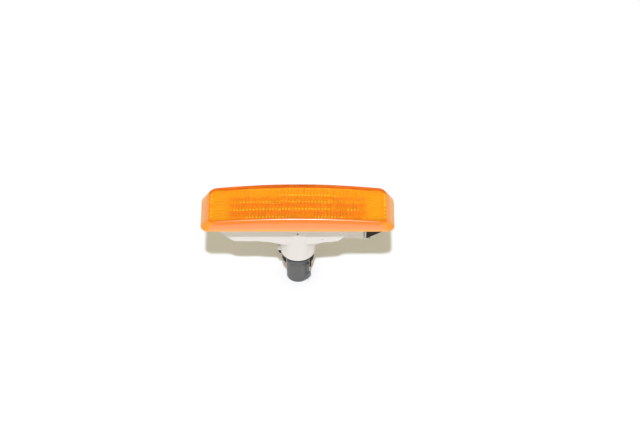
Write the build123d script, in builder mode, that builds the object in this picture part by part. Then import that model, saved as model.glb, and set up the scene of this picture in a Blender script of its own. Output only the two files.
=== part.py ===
from build123d import *
import os
from math import hypot

# Side repeater lamp: an amber lens welded to a white housing, whose boss takes a twist-lock bulb holder.
# Millimetres. The origin is the middle of the lens rim's seat, the face that lies on the car's wing.
# +Z points out of the lens, +X runs along it towards the spring clip, and -Y is its straight long edge.

# Lens
LENS_LENGTH = 110.0
LENS_WIDTH = 33.0
LENS_HEIGHT = 7.6  # seat to the middle of the face
LENS_ARCH = 1.6  # rise of the curved long edge, middle over ends
FACE_SAG = 2.5  # drop of the face from its middle to the rim's ends
END_LEAN = 6.0  # how far the end walls lean in over the lens height
SIDE_LEAN = 2.4  # how far the long walls lean in over the lens height
NEAR_CORNER = 4.5  # corners at the straight edge
FAR_CORNER = 8.0  # corners at the arched edge
LENS_WALL = 2.0
RIM_LAND = 1.3  # wall left outside the rebate that takes the housing's flange
FACE_EDGE = 0.9  # bevel where the face meets the walls

# Optics on the inside of the lens
FLUTE_PITCH = 2.2
FLUTE_CREST = 0.8  # flat along the top of each flute
FLUTE_DEPTH = 0.45
FLUTE_LAND = 0.1  # how far the ridges between the flutes stand off the inner face
FLUTE_COUNT = 34
ROW_PITCH = 5.6
ROW_GAP = 0.7
ROW_COUNT = 4
END_RIB_PITCH = 2.4
END_RIB_COUNT = 9
END_RIB_INSET = 7.5  # rim's end to the ribbed end of the optics
END_RIB_LENGTH = 7.0

# Housing
FLANGE_THICKNESS = 1.8
FLANGE_RECESS = 0.4  # seat to the flange, so that the lens rim alone lies on the panel
WELD_CLEARANCE = 0.15  # between the flange and the wall of the lens rebate
HOUSING_WALL = 1.6
TRAY_WIDTH = 17.6
TRAY_DEPTH = 16.2
TRAY_LEFT_INSET = 8.5  # rim's end to the tray's left end
TRAY_LEFT_KNEE = 6.8  # depth where the left end starts to slope
TRAY_SLOPE_RUN = 10.6  # length of that slope along the lens
TRAY_RIGHT = 28.4  # axis to the tray's right end
TRAY_RIGHT_KNEE = 10.6
TRAY_RIGHT_RUN = 5.8  # length of the right end's slope
TRAY_EDGE = 1.0  # rounding of the tray's long lower edges
SADDLE_REACH = 20.6  # axis to where the saddle runs out into the tray's floor
SADDLE_DEPTH = 18.2
BOSS_RADIUS = 10.0
BOSS_DEPTH = 30.8
VENT_RADIUS = 0.6
VENT_DEPTH = 8.8
PIN_MARK_RADIUS = 0.4  # mark of the mould's ejector in the tray's front
PIN_MARK_SINK = 0.3
PIN_MARK_PLACE = 14.0
PIN_MARK_DEPTH = 14.2
LIP_THICKNESS = 2.0
STOP_REACH = 11.7  # axis to the outer face of the turning stop
STOP_WIDTH = 2.4
STOP_HEIGHT = 3.4
TONGUE_REACH = 4.5
TONGUE_WIDTH = 15.0
TONGUE_THICKNESS = 2.0
PANEL_GAP = 2.5  # seat to the tongue, for the panel and its paint
GUSSET_THICKNESS = 1.2
GUSSET_FOOT = 14.4  # depth that the tongue's gussets run down to
LEG_WIDTH = 11.0
LEG_DEPTH = 16.4

# Spring clip and the plate that it snaps on
PLATE_INSET = 15.8  # rim's end to the outer face of the plate
PLATE_GAP = 0.4  # leg to plate
PLATE_THICKNESS = 1.0
FOOT_THICKNESS = 0.8
FOOT_LAP = 2.6
FOOT_REACH = 2.4
CLIP_TOP = 1.5
CLIP_REACH = 9.4
CLIP_NOSE = 10.6  # depth of the clip's nose
CLIP_NOSE_RADIUS = 1.0
CLIP_SHOULDER = 4.5
CLIP_TOE = 0.6
CLIP_WALL = 1.4
HOOK_WIDTH = 3.0
HOOK_DEPTH = 7.0
HOOK_HEIGHT = 2.4
HOOK_BARB = 1.0
HOOK_HEAD = 1.2
HOOK_CLEARANCE = 0.1
HOOK_ROOM = 0.4  # round the hook's head in the leg's window

# Bulb holder
BAYONET_CLEARANCE = 0.3
PLUG_RADIUS = 7.2
PLUG_LENGTH = 11.4
LUG_COUNT = 3
LUG_WIDTH = 4.4
LUG_HEIGHT = 2.0
NOTCH_TURN = 45.0  # degrees from locked to the notches of the lip
SEAL_RADIUS = 9.2
SEAL_THICKNESS = 1.6
SEAL_CLEARANCE = 0.1
EAR_INNER = 6.7  # axis to the ears that hang beside the holder's flange
EAR_DEPTH = 5.4  # boss to the foot of the ears
TAIL_WIDTH = 1.0
TAIL_DEPTH = 9.2  # boss to the foot of the pull tail at the right
PULL_DEPTH = 2.4  # boss to the foot of the pull ear under the stop
HOLDER_FLANGE = 0.9
TAB_RADIUS = 10.0  # outer face of the thumb tabs in front of the seal and behind it
TAB_THICKNESS = 0.7
TAB_WIDTH = 12.6
TAB_GAP = 0.4  # boss to the top of the tabs
SHROUD_RADIUS = 6.5
SHROUD_WALL = 1.2
SHROUD_LENGTH = 18.5
SOCKET_DEPTH = 12.5
KEY_ANGLE = -34.0
KEY_STEM_WIDTH = 2.2
KEY_STEM_PROUD = 0.6
KEY_STEM_LENGTH = 13.0
KEY_WIDTH = 3.4
KEY_PROUD = 1.4
KEY_HEIGHT = 4.6
KEY_FROM_END = 0.8
POCKET_LENGTH = 10.4
POCKET_WIDTH = 7.6
POCKET_DEPTH = 10.8

# Contacts
PIN_SPACING = 6.0
PIN_WIDTH = 2.8
PIN_THICKNESS = 0.8
PIN_LENGTH = 9.0
SLOT_CLEARANCE = 0.1

# Bulb
BULB_RADIUS = 5.0
BULB_LENGTH = 17.0
BULB_SEAT_GAP = 0.3
DOME_HEIGHT = 3.6
DOME_CROWN_RADIUS = 2.9
DOME_CROWN = 0.9  # depth of the bend in the dome below its top
GLASS_WALL = 0.7
PINCH_HEIGHT = 2.0
BASE_WIDTH = 9.0
BASE_THICKNESS = 2.6
BASE_LENGTH = 9.4
LEAD_RADIUS = 0.25
LEAD_SPACING = 3.6
LEAD_FOLD = 5.0
LEAD_CLEARANCE = 0.02
FILAMENT_HEIGHT = 10.0
FILAMENT_RADIUS = 0.3
FILAMENT_RISE = 0.4

# Levels that several pieces share
flange_seat = FLANGE_RECESS + FLANGE_THICKNESS
lip_top = LIP_THICKNESS - BOSS_DEPTH
bore_radius = BOSS_RADIUS - HOUSING_WALL
lug_radius = bore_radius - BAYONET_CLEARANCE
flange_top = -BOSS_DEPTH - SEAL_THICKNESS
flange_bottom = flange_top - HOLDER_FLANGE
plug_top = flange_top + PLUG_LENGTH
holder_end = flange_bottom - SHROUD_LENGTH
socket_floor = holder_end + SOCKET_DEPTH
pocket_floor = plug_top - POCKET_DEPTH
bulb_seat = plug_top + BULB_SEAT_GAP
bulb_top = bulb_seat + BULB_LENGTH
base_bottom = bulb_seat - BASE_LENGTH
filament_level = bulb_seat + FILAMENT_HEIGHT
rim_end = LENS_LENGTH / 2
tray_left = rim_end - TRAY_LEFT_INSET
tray_floor_left = tray_left - TRAY_SLOPE_RUN
tray_floor_right = TRAY_RIGHT - TRAY_RIGHT_RUN
plate_outer = rim_end - PLATE_INSET
plate_inner = plate_outer - PLATE_THICKNESS
leg_end = plate_inner - PLATE_GAP
end_rib_start = rim_end - END_RIB_INSET - END_RIB_LENGTH

os.makedirs("parts", exist_ok=True)


def lens_outline(height, end_inset, side_inset, corner_inset):
    """Outline of the lens, drawn in from its rim: straight near edge, arched far edge, rounded corners."""
    half_length = LENS_LENGTH / 2 - end_inset
    half_width = LENS_WIDTH / 2 - side_inset
    shoulder = half_width - LENS_ARCH
    with BuildSketch(Plane.XY.offset(height)) as outline:
        with BuildLine():
            Polyline(
                (-half_length, shoulder),
                (-half_length, -half_width),
                (half_length, -half_width),
                (half_length, shoulder),
            )
            ThreePointArc((half_length, shoulder), (0, half_width), (-half_length, shoulder))
        make_face()
        fillet(outline.vertices().group_by(Axis.Y)[-1], FAR_CORNER - corner_inset)
        fillet(outline.vertices().group_by(Axis.Y)[0], NEAR_CORNER - corner_inset)
    return outline.sketch


def face_height(x):
    """Height of the domed face over the seat, at a distance from the middle of the lens."""
    return LENS_HEIGHT - FACE_SAG * (2 * x / LENS_LENGTH) ** 2


def below_face(drop):
    """Side view of the space between the seat and the domed face, the face lowered by a drop."""
    half_length = LENS_LENGTH / 2
    low = LENS_HEIGHT - FACE_SAG - drop
    with BuildSketch(Plane.XZ) as side_view:
        with BuildLine():
            ThreePointArc((-half_length, low), (0, LENS_HEIGHT - drop), (half_length, low))
            Polyline((half_length, low), (half_length, 0), (-half_length, 0), (-half_length, low))
        make_face()
    return side_view.sketch


def core_face(x):
    """Height of the hollow's face, where the flutes meet it, at a distance from the middle of the lens."""
    return face_height(x) - LENS_WALL - FLUTE_LAND


def core_end_face(y):
    """Height of the hollow's face at the middle of the ribbed ends, the same at every y."""
    return core_face(end_rib_start + END_RIB_LENGTH / 2)


def fluted_bar(plane, pitch, count, level):
    """Section of a row of flutes: flat crests with sloped flanks hung below a level, closed above the face."""
    edge = count * pitch / 2
    flank = (pitch - FLUTE_CREST) / 2
    with BuildSketch(plane) as section:
        with BuildLine():
            for flute in range(count):
                left = flute * pitch - edge
                right = left + pitch
                low = level(left + pitch / 2) - FLUTE_DEPTH
                Polyline((left, level(left)), (left + flank, low), (right - flank, low), (right, level(right)))
            Polyline((edge, level(edge)), (edge, LENS_HEIGHT), (-edge, LENS_HEIGHT), (-edge, level(-edge)))
        make_face()
    return section.sketch


# Core of the lens mould: the hollow of the lens, with the flutes cut into its face.
core_end_inset = LENS_WALL * hypot(1, END_LEAN / LENS_HEIGHT)
core_side_inset = LENS_WALL * hypot(1, SIDE_LEAN / LENS_HEIGHT)
with BuildPart() as lens_core:
    loft(
        [
            lens_outline(0, core_end_inset, core_side_inset, LENS_WALL),
            lens_outline(LENS_HEIGHT, core_end_inset + END_LEAN, core_side_inset + SIDE_LEAN, LENS_WALL),
        ],
        ruled=True,
    )
    extrude(below_face(LENS_WALL), amount=LENS_WIDTH, both=True, mode=Mode.INTERSECT)
    for row in range(ROW_COUNT):
        row_middle = (row - (ROW_COUNT - 1) / 2) * ROW_PITCH
        flutes = fluted_bar(Plane.XZ.offset(-row_middle), FLUTE_PITCH, FLUTE_COUNT, core_face)
        extrude(flutes, amount=(ROW_PITCH - ROW_GAP) / 2, both=True, mode=Mode.SUBTRACT)
    for rib_start in (end_rib_start, -end_rib_start - END_RIB_LENGTH):
        end_ribs = fluted_bar(Plane.YZ.offset(rib_start), END_RIB_PITCH, END_RIB_COUNT, core_end_face)
        extrude(end_ribs, amount=END_RIB_LENGTH, mode=Mode.SUBTRACT)

# Lens: one amber moulding, hollow behind, with a rebate round its rim for the housing's flange.
rebate_end = RIM_LAND + END_LEAN * flange_seat / LENS_HEIGHT
rebate_side = RIM_LAND + SIDE_LEAN * flange_seat / LENS_HEIGHT
with BuildPart() as lens:
    loft(
        [lens_outline(0, 0, 0, 0), lens_outline(LENS_HEIGHT, END_LEAN, SIDE_LEAN, 0)],
        ruled=True,
    )
    extrude(below_face(0), amount=LENS_WIDTH, both=True, mode=Mode.INTERSECT)
    chamfer(lens.faces().sort_by(Axis.Z)[-1].edges(), FACE_EDGE)
    add(lens_core.part, mode=Mode.SUBTRACT)
    extrude(lens_outline(0, rebate_end, rebate_side, RIM_LAND), amount=flange_seat, mode=Mode.SUBTRACT)
lens.part.label = "lens"
export_step(lens.part, "parts/lens.step")


def tray_section(top, inset):
    """Side view of the tray up to a height: sloped left end, flat floor, chamfered right end."""
    with BuildSketch(Plane.XZ) as section:
        with BuildLine():
            Polyline(
                (-tray_left, top),
                (-tray_left, -TRAY_LEFT_KNEE),
                (-tray_floor_left, -TRAY_DEPTH),
                (tray_floor_right, -TRAY_DEPTH),
                (TRAY_RIGHT, -TRAY_RIGHT_KNEE),
                (TRAY_RIGHT, top),
                close=True,
            )
        make_face()
        if inset:
            offset(amount=-inset, kind=Kind.INTERSECTION, mode=Mode.REPLACE)
    return section.sketch


# Housing: one white moulding. Its flange fills the lens rebate, and its open top feeds light to the lens.
core_top = LENS_HEIGHT  # the hollows are cut from above the flange
tongue_bottom = -PANEL_GAP - TONGUE_THICKNESS
tongue_tip = -tray_left - TONGUE_REACH
slope = TRAY_SLOPE_RUN / (TRAY_DEPTH - TRAY_LEFT_KNEE)
gusset_foot_x = -tray_left + slope * (GUSSET_FOOT - TRAY_LEFT_KNEE)
gusset_root = HOUSING_WALL / 2  # how far the ribs are rooted in the wall behind them
plate_foot = -LEG_DEPTH - FOOT_THICKNESS
with BuildPart() as housing:
    extrude(tray_section(flange_seat, 0), amount=TRAY_WIDTH / 2, both=True)
    fillet(housing.edges().filter_by(Axis.X).group_by(Axis.Z)[0], TRAY_EDGE)
    with BuildSketch(Plane.XZ):
        with BuildLine():
            TangentArc((-SADDLE_REACH, -TRAY_DEPTH), (-BOSS_RADIUS, -SADDLE_DEPTH), tangent=(1, 0))
            Line((-BOSS_RADIUS, -SADDLE_DEPTH), (BOSS_RADIUS, -SADDLE_DEPTH))
            TangentArc((SADDLE_REACH, -TRAY_DEPTH), (BOSS_RADIUS, -SADDLE_DEPTH), tangent=(-1, 0))
            Polyline(
                (SADDLE_REACH, -TRAY_DEPTH),
                (SADDLE_REACH, -TRAY_RIGHT_KNEE),
                (-SADDLE_REACH, -TRAY_RIGHT_KNEE),
                (-SADDLE_REACH, -TRAY_DEPTH),
            )
        make_face()
    extrude(amount=TRAY_WIDTH / 2, both=True)
    with BuildSketch(Plane.XY.offset(-BOSS_DEPTH)):
        Circle(BOSS_RADIUS)
    extrude(amount=BOSS_DEPTH + flange_seat)
    extrude(
        lens_outline(
            FLANGE_RECESS,
            rebate_end + WELD_CLEARANCE,
            rebate_side + WELD_CLEARANCE,
            RIM_LAND + WELD_CLEARANCE,
        ),
        amount=FLANGE_THICKNESS,
    )
    with BuildSketch(Plane.XY.offset(-LEG_DEPTH)):
        with Locations((TRAY_RIGHT - HOUSING_WALL, 0)):
            Rectangle(leg_end - TRAY_RIGHT + HOUSING_WALL, LEG_WIDTH, align=(Align.MIN, Align.CENTER))
    extrude(amount=LEG_DEPTH + flange_seat)

    # Hollows of the tray, the leg and the boss, down to the lip that holds the bayonet, and the vent in front.
    extrude(tray_section(core_top, HOUSING_WALL), amount=TRAY_WIDTH / 2 - HOUSING_WALL, both=True, mode=Mode.SUBTRACT)
    with BuildSketch(Plane.XY.offset(HOUSING_WALL - LEG_DEPTH)):
        with Locations((TRAY_RIGHT, 0)):
            Rectangle(
                leg_end - TRAY_RIGHT - HOUSING_WALL,
                LEG_WIDTH - 2 * HOUSING_WALL,
                align=(Align.MIN, Align.CENTER),
            )
    extrude(amount=LEG_DEPTH + flange_seat, mode=Mode.SUBTRACT)
    with BuildSketch(Plane.XY.offset(lip_top)):
        Circle(bore_radius)
    extrude(amount=core_top - lip_top, mode=Mode.SUBTRACT)
    with BuildSketch(Plane.XZ):
        with Locations((0, -VENT_DEPTH)):
            Circle(VENT_RADIUS)
    extrude(amount=BOSS_RADIUS, mode=Mode.SUBTRACT)
    with BuildSketch(Plane.XZ.offset(TRAY_WIDTH / 2)):
        with Locations((PIN_MARK_PLACE, -PIN_MARK_DEPTH)):
            Circle(PIN_MARK_RADIUS)
    extrude(amount=-PIN_MARK_SINK, mode=Mode.SUBTRACT)

    # Lip opening, with a notch for each lug, a turn away from where the lugs lock.
    with BuildSketch(Plane.XY.offset(-BOSS_DEPTH)):
        with PolarLocations(0, LUG_COUNT, start_angle=-NOTCH_TURN):
            Rectangle(
                BOSS_RADIUS,
                LUG_WIDTH + 2 * BAYONET_CLEARANCE,
                align=(Align.MIN, Align.CENTER),
            )
        Circle(bore_radius, mode=Mode.INTERSECT)
        Circle(PLUG_RADIUS + BAYONET_CLEARANCE)
    extrude(amount=LIP_THICKNESS, mode=Mode.SUBTRACT)

    # Turning stop on the side of the boss.
    with BuildSketch(Plane.XY.offset(-BOSS_DEPTH)):
        with Locations((-STOP_REACH, 0)):
            Rectangle(STOP_REACH - bore_radius, STOP_WIDTH, align=(Align.MIN, Align.CENTER))
        Circle(BOSS_RADIUS - gusset_root, mode=Mode.SUBTRACT)
    extrude(amount=STOP_HEIGHT)

    # Locating tongue behind the panel at the left end, with its two gussets.
    with BuildSketch(Plane.XY.offset(tongue_bottom)):
        with Locations((tongue_tip, 0)):
            Rectangle(TONGUE_REACH + gusset_root, TONGUE_WIDTH, align=(Align.MIN, Align.CENTER))
    extrude(amount=TONGUE_THICKNESS)
    for side in (-1, 1):
        with BuildSketch(Plane.XZ.offset(side * (TONGUE_WIDTH - GUSSET_THICKNESS) / 2)):
            with BuildLine():
                Polyline(
                    (tongue_tip, tongue_bottom),
                    (-tray_left + gusset_root, tongue_bottom),
                    (-tray_left + gusset_root, -TRAY_LEFT_KNEE),
                    (gusset_foot_x + gusset_root, -GUSSET_FOOT),
                    (gusset_foot_x, -GUSSET_FOOT),
                    close=True,
                )
            make_face()
        extrude(amount=GUSSET_THICKNESS / 2, both=True)

    # Plate and foot for the clip, the window that its hook snaps through, and the one in the leg for its head.
    with BuildSketch(Plane.XZ):
        with BuildLine():
            Polyline(
                (plate_inner, flange_seat),
                (plate_inner, -LEG_DEPTH),
                (leg_end - FOOT_LAP, -LEG_DEPTH),
                (leg_end - FOOT_LAP, plate_foot),
                (plate_outer + FOOT_REACH, plate_foot),
                (plate_outer + FOOT_REACH, -LEG_DEPTH),
                (plate_outer, -LEG_DEPTH),
                (plate_outer, flange_seat),
                close=True,
            )
        make_face()
    extrude(amount=LEG_WIDTH / 2, both=True)
    with BuildSketch(Plane.YZ.offset(plate_inner)):
        with Locations((0, -HOOK_DEPTH)):
            Rectangle(HOOK_WIDTH + 2 * HOOK_CLEARANCE, HOOK_HEIGHT + 2 * HOOK_CLEARANCE)
    extrude(amount=PLATE_THICKNESS, mode=Mode.SUBTRACT)
    with BuildSketch(Plane.YZ.offset(leg_end)):
        with Locations((0, -HOOK_DEPTH)):
            Rectangle(HOOK_WIDTH + 2 * HOOK_ROOM, HOOK_HEIGHT + 2 * (HOOK_BARB + HOOK_ROOM))
    extrude(amount=-HOUSING_WALL, mode=Mode.SUBTRACT)
housing.part.label = "housing"
export_step(housing.part, "parts/housing.step")


def clip_section(back, inset):
    """Side view of the clip from a back face: toe on the foot, ramp to the nose, shoulder behind the panel."""
    with BuildSketch(Plane.XZ) as section:
        with BuildLine():
            Polyline(
                (back, -CLIP_TOP),
                (back, -LEG_DEPTH),
                (plate_outer + CLIP_TOE, -LEG_DEPTH),
                (plate_outer + CLIP_REACH, -CLIP_NOSE),
                (plate_outer + CLIP_SHOULDER, -CLIP_TOP),
                close=True,
            )
        make_face()
        if inset:
            offset(amount=-inset, kind=Kind.INTERSECTION, mode=Mode.REPLACE)
    return section.sketch


# Retaining clip: black moulded wedge, cored out from behind on both sides of the rib that carries its hook.
pocket_back = plate_inner - CLIP_WALL  # the cores run out through the back face
with BuildPart() as retaining_clip:
    extrude(clip_section(plate_outer, 0), amount=LEG_WIDTH / 2, both=True)
    fillet(retaining_clip.edges().filter_by(Axis.Y).sort_by(Axis.X)[-1], CLIP_NOSE_RADIUS)
    core_width = (LEG_WIDTH - HOOK_WIDTH) / 2 - CLIP_WALL
    for side in (-1, 1):
        core_section = clip_section(pocket_back - CLIP_WALL, CLIP_WALL).moved(Location((0, side * HOOK_WIDTH / 2, 0)))
        extrude(core_section, amount=core_width, dir=(0, side, 0), mode=Mode.SUBTRACT)
    with BuildSketch(Plane.XZ):
        with Locations((plate_inner - HOOK_CLEARANCE, -HOOK_DEPTH)):
            Rectangle(HOOK_HEAD, HOOK_HEIGHT + 2 * HOOK_BARB, align=(Align.MAX, Align.CENTER))
            Rectangle(PLATE_THICKNESS + CLIP_WALL, HOOK_HEIGHT, align=(Align.MIN, Align.CENTER))
    extrude(amount=HOOK_WIDTH / 2, both=True)
retaining_clip.part.label = "retaining_clip"
export_step(retaining_clip.part, "parts/retaining_clip.step")

# Holder seal: rubber ring squeezed between the boss and the holder's flange. An ear hangs down each side of the
# flange and keeps the ring in place, the right one with a tail to pull it off by, and a third lies under the stop.
plug_clearance = PLUG_RADIUS + SEAL_CLEARANCE
with BuildPart() as holder_seal:
    with BuildSketch(Plane.XY.offset(flange_top)):
        Circle(SEAL_RADIUS)
        Circle(plug_clearance, mode=Mode.SUBTRACT)
    extrude(amount=SEAL_THICKNESS)
    with BuildSketch(Plane.XY.offset(-BOSS_DEPTH)):
        Circle(SEAL_RADIUS)
        Rectangle(2 * EAR_INNER, 2 * SEAL_RADIUS, mode=Mode.SUBTRACT)
        Circle(plug_clearance, mode=Mode.SUBTRACT)
    extrude(amount=-EAR_DEPTH)
    with BuildSketch(Plane.XY.offset(-BOSS_DEPTH)):
        Circle(SEAL_RADIUS)
        with Locations((EAR_INNER, 0)):
            Rectangle(TAIL_WIDTH, SEAL_RADIUS, align=(Align.MIN, Align.MAX), mode=Mode.INTERSECT)
        Circle(plug_clearance, mode=Mode.SUBTRACT)
    extrude(amount=-TAIL_DEPTH)
    with BuildSketch(Plane.XY.offset(-BOSS_DEPTH)):
        with Locations((-STOP_REACH, 0)):
            Rectangle(STOP_REACH, STOP_WIDTH, align=(Align.MIN, Align.CENTER))
        Circle(plug_clearance, mode=Mode.SUBTRACT)
    extrude(amount=-PULL_DEPTH)
holder_seal.part.label = "holder_seal"
export_step(holder_seal.part, "parts/holder_seal.step")

# Bulb holder: grey moulding with plug, lugs and thumb tabs above its flange, and the connector shroud below.
key_bottom = holder_end + KEY_FROM_END
with BuildPart() as bulb_holder:
    with BuildSketch(Plane.XY.offset(flange_bottom)):
        Circle(TAB_RADIUS)
        Rectangle(TAB_WIDTH, 2 * TAB_RADIUS, mode=Mode.INTERSECT)
    extrude(amount=HOLDER_FLANGE)
    with BuildSketch(Plane.XY.offset(flange_top)):
        Circle(TAB_RADIUS)
        Circle(TAB_RADIUS - TAB_THICKNESS, mode=Mode.SUBTRACT)
        Rectangle(TAB_WIDTH, 2 * TAB_RADIUS, mode=Mode.INTERSECT)
    extrude(amount=SEAL_THICKNESS - TAB_GAP)
    with BuildSketch(Plane.XY.offset(flange_top)):
        Circle(PLUG_RADIUS)
    extrude(amount=PLUG_LENGTH)
    with BuildSketch(Plane.XY.offset(lip_top + BAYONET_CLEARANCE)):
        with PolarLocations(0, LUG_COUNT):
            Rectangle(BOSS_RADIUS, LUG_WIDTH, align=(Align.MIN, Align.CENTER))
        Circle(lug_radius, mode=Mode.INTERSECT)
    extrude(amount=LUG_HEIGHT)
    with BuildSketch(Plane.XY.offset(flange_bottom)):
        Circle(SHROUD_RADIUS)
    extrude(amount=-SHROUD_LENGTH)

    # Key of the connector: a stem down the shroud with a wider nib near its end.
    with BuildSketch(Plane.XY.offset(key_bottom)):
        with PolarLocations(0, 1, start_angle=KEY_ANGLE):
            Rectangle(SHROUD_RADIUS + KEY_STEM_PROUD, KEY_STEM_WIDTH, align=(Align.MIN, Align.CENTER))
    extrude(amount=KEY_STEM_LENGTH)
    with BuildSketch(Plane.XY.offset(key_bottom)):
        with PolarLocations(0, 1, start_angle=KEY_ANGLE):
            Rectangle(SHROUD_RADIUS + KEY_PROUD, KEY_WIDTH, align=(Align.MIN, Align.CENTER))
    extrude(amount=KEY_HEIGHT)

    # Pocket for the bulb's base, socket for the connector, and a slot for each contact between them.
    with BuildSketch(Plane.XY.offset(pocket_floor)):
        Rectangle(POCKET_WIDTH, POCKET_LENGTH)
    extrude(amount=POCKET_DEPTH, mode=Mode.SUBTRACT)
    with BuildSketch(Plane.XY.offset(holder_end)):
        Circle(SHROUD_RADIUS - SHROUD_WALL)
    extrude(amount=SOCKET_DEPTH, mode=Mode.SUBTRACT)
    with BuildSketch(Plane.XY.offset(socket_floor)):
        with GridLocations(PIN_SPACING, 0, 2, 1):
            Rectangle(PIN_THICKNESS + 2 * SLOT_CLEARANCE, PIN_WIDTH + 2 * SLOT_CLEARANCE)
    extrude(amount=pocket_floor - socket_floor, mode=Mode.SUBTRACT)
bulb_holder.part.label = "bulb_holder"
export_step(bulb_holder.part, "parts/bulb_holder.step")

# Contacts: brass strips, each a pin in the socket, a straight run through the web and a leaf at the bulb.
lead_outer = BASE_THICKNESS / 2 + 2 * (LEAD_RADIUS + LEAD_CLEARANCE)
leaf_touch = lead_outer + PIN_THICKNESS / 2
leaf_room = plug_top - pocket_floor
for side, name in ((-1, "contact_left"), (1, "contact_right")):
    with BuildPart() as contact:
        with BuildSketch(Plane.XZ):
            with BuildLine():
                Polyline(
                    (side * PIN_SPACING / 2, socket_floor - PIN_LENGTH),
                    (side * PIN_SPACING / 2, pocket_floor + leaf_room / 4),
                    (side * leaf_touch, pocket_floor + leaf_room / 2),
                    (side * leaf_touch, pocket_floor + leaf_room * 5 / 8),
                    (side * PIN_SPACING / 2, pocket_floor + leaf_room * 7 / 8),
                )
                offset(amount=PIN_THICKNESS / 2, kind=Kind.INTERSECTION, side=Side.BOTH, mode=Mode.REPLACE)
            make_face()
        extrude(amount=PIN_WIDTH / 2, both=True)
    contact.part.label = name
    export_step(contact.part, f"parts/{name}.step")

# Bulb glass: clear envelope with a flat pressed base, and a hole for each lead.
with BuildPart() as bulb_glass:
    with BuildSketch(Plane.XZ):
        with BuildLine():
            Polyline(
                (0, bulb_seat),
                (BULB_RADIUS, bulb_seat),
                (BULB_RADIUS, bulb_top - DOME_HEIGHT),
                (DOME_CROWN_RADIUS, bulb_top - DOME_CROWN),
                (0, bulb_top),
                close=True,
            )
        make_face()
    revolve(axis=Axis.Z)
    with BuildSketch(Plane.XY.offset(base_bottom)):
        RectangleRounded(BASE_THICKNESS, BASE_WIDTH, BASE_THICKNESS / 4)
    extrude(amount=BASE_LENGTH + PINCH_HEIGHT)
    with BuildSketch(Plane.XY.offset(bulb_seat + PINCH_HEIGHT)):
        Circle(BULB_RADIUS - GLASS_WALL)
    extrude(amount=BULB_LENGTH - PINCH_HEIGHT - DOME_HEIGHT, mode=Mode.SUBTRACT)
    with BuildSketch(Plane.XY.offset(base_bottom)):
        with GridLocations(0, LEAD_SPACING, 1, 2):
            Circle(LEAD_RADIUS + LEAD_CLEARANCE)
    extrude(amount=BASE_LENGTH + PINCH_HEIGHT, mode=Mode.SUBTRACT)
bulb_glass.part.label = "bulb_glass"
export_step(bulb_glass.part, "parts/bulb_glass.step")

# Leads: each wire runs from the filament through the glass and folds up one face of the base.
fold_bottom = base_bottom - LEAD_RADIUS - LEAD_CLEARANCE
fold_x = BASE_THICKNESS / 2 + LEAD_RADIUS + LEAD_CLEARANCE
for side, name in ((-1, "bulb_lead_left"), (1, "bulb_lead_right")):
    lead_y = side * LEAD_SPACING / 2
    with BuildPart() as lead:
        with BuildLine() as route:
            Polyline(
                (0, lead_y, filament_level + FILAMENT_RADIUS),
                (0, lead_y, fold_bottom),
                (side * fold_x, lead_y, fold_bottom),
                (side * fold_x, lead_y, base_bottom + LEAD_FOLD),
            )
        with BuildSketch(Plane(origin=route.line @ 0, z_dir=route.line % 0)):
            Circle(LEAD_RADIUS)
        sweep(transition=Transition.RIGHT)
    lead.part.label = name
    export_step(lead.part, f"parts/{name}.step")

# Filament: a fine coil, drawn as its outer form, hung in a low arch between the two leads.
filament_end = LEAD_SPACING / 2 - LEAD_RADIUS - FILAMENT_RADIUS
with BuildPart() as bulb_filament:
    with BuildLine() as arch:
        Polyline(
            (0, -filament_end, filament_level),
            (0, 0, filament_level + FILAMENT_RISE),
            (0, filament_end, filament_level),
        )
    with BuildSketch(Plane(origin=arch.line @ 0, z_dir=arch.line % 0)):
        Circle(FILAMENT_RADIUS)
    sweep(transition=Transition.RIGHT)
bulb_filament.part.label = "bulb_filament"
export_step(bulb_filament.part, "parts/bulb_filament.step")
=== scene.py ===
import bmesh
import bpy
import numpy as np
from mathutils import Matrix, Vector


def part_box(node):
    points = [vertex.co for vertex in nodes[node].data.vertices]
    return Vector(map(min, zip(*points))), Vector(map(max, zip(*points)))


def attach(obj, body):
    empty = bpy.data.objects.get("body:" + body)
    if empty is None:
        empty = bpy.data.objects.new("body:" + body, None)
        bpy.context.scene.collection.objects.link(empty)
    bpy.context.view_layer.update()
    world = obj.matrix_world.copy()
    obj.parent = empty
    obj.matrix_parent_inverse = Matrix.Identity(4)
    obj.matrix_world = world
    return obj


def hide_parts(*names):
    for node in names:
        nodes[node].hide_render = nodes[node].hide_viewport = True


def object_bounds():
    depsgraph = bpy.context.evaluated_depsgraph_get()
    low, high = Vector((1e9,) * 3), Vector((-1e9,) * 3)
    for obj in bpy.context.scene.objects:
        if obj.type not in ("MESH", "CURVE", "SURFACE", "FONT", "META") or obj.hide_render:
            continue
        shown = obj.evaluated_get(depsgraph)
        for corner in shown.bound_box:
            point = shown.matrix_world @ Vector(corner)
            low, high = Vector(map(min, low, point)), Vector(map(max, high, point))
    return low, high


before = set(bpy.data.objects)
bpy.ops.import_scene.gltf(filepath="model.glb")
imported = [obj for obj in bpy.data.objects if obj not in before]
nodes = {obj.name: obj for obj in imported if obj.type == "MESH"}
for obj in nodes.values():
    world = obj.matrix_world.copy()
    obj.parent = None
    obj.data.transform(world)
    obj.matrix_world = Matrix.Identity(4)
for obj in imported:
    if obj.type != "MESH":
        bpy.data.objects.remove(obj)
cad_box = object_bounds()

# Housing: the white tray, saddle and boss behind the lens, with the flange that the lens is welded to.
# It is one satin moulding in off-white plastic, slightly mottled, with the fine grain of its mould.
# The solid is carried over, and its edges get the small rounding that a moulding has.
MM = 0.001
MERGE_DISTANCE = 0.001 * MM
FLAT_ANGLE = 0.002
CREASE_ANGLE = 0.35
CORNER_ANGLE = 0.6
ROUNDING_STEPS = 2
SADDLE_END = 20.6 * MM
SADDLE_END_REACH = 0.4 * MM


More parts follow.
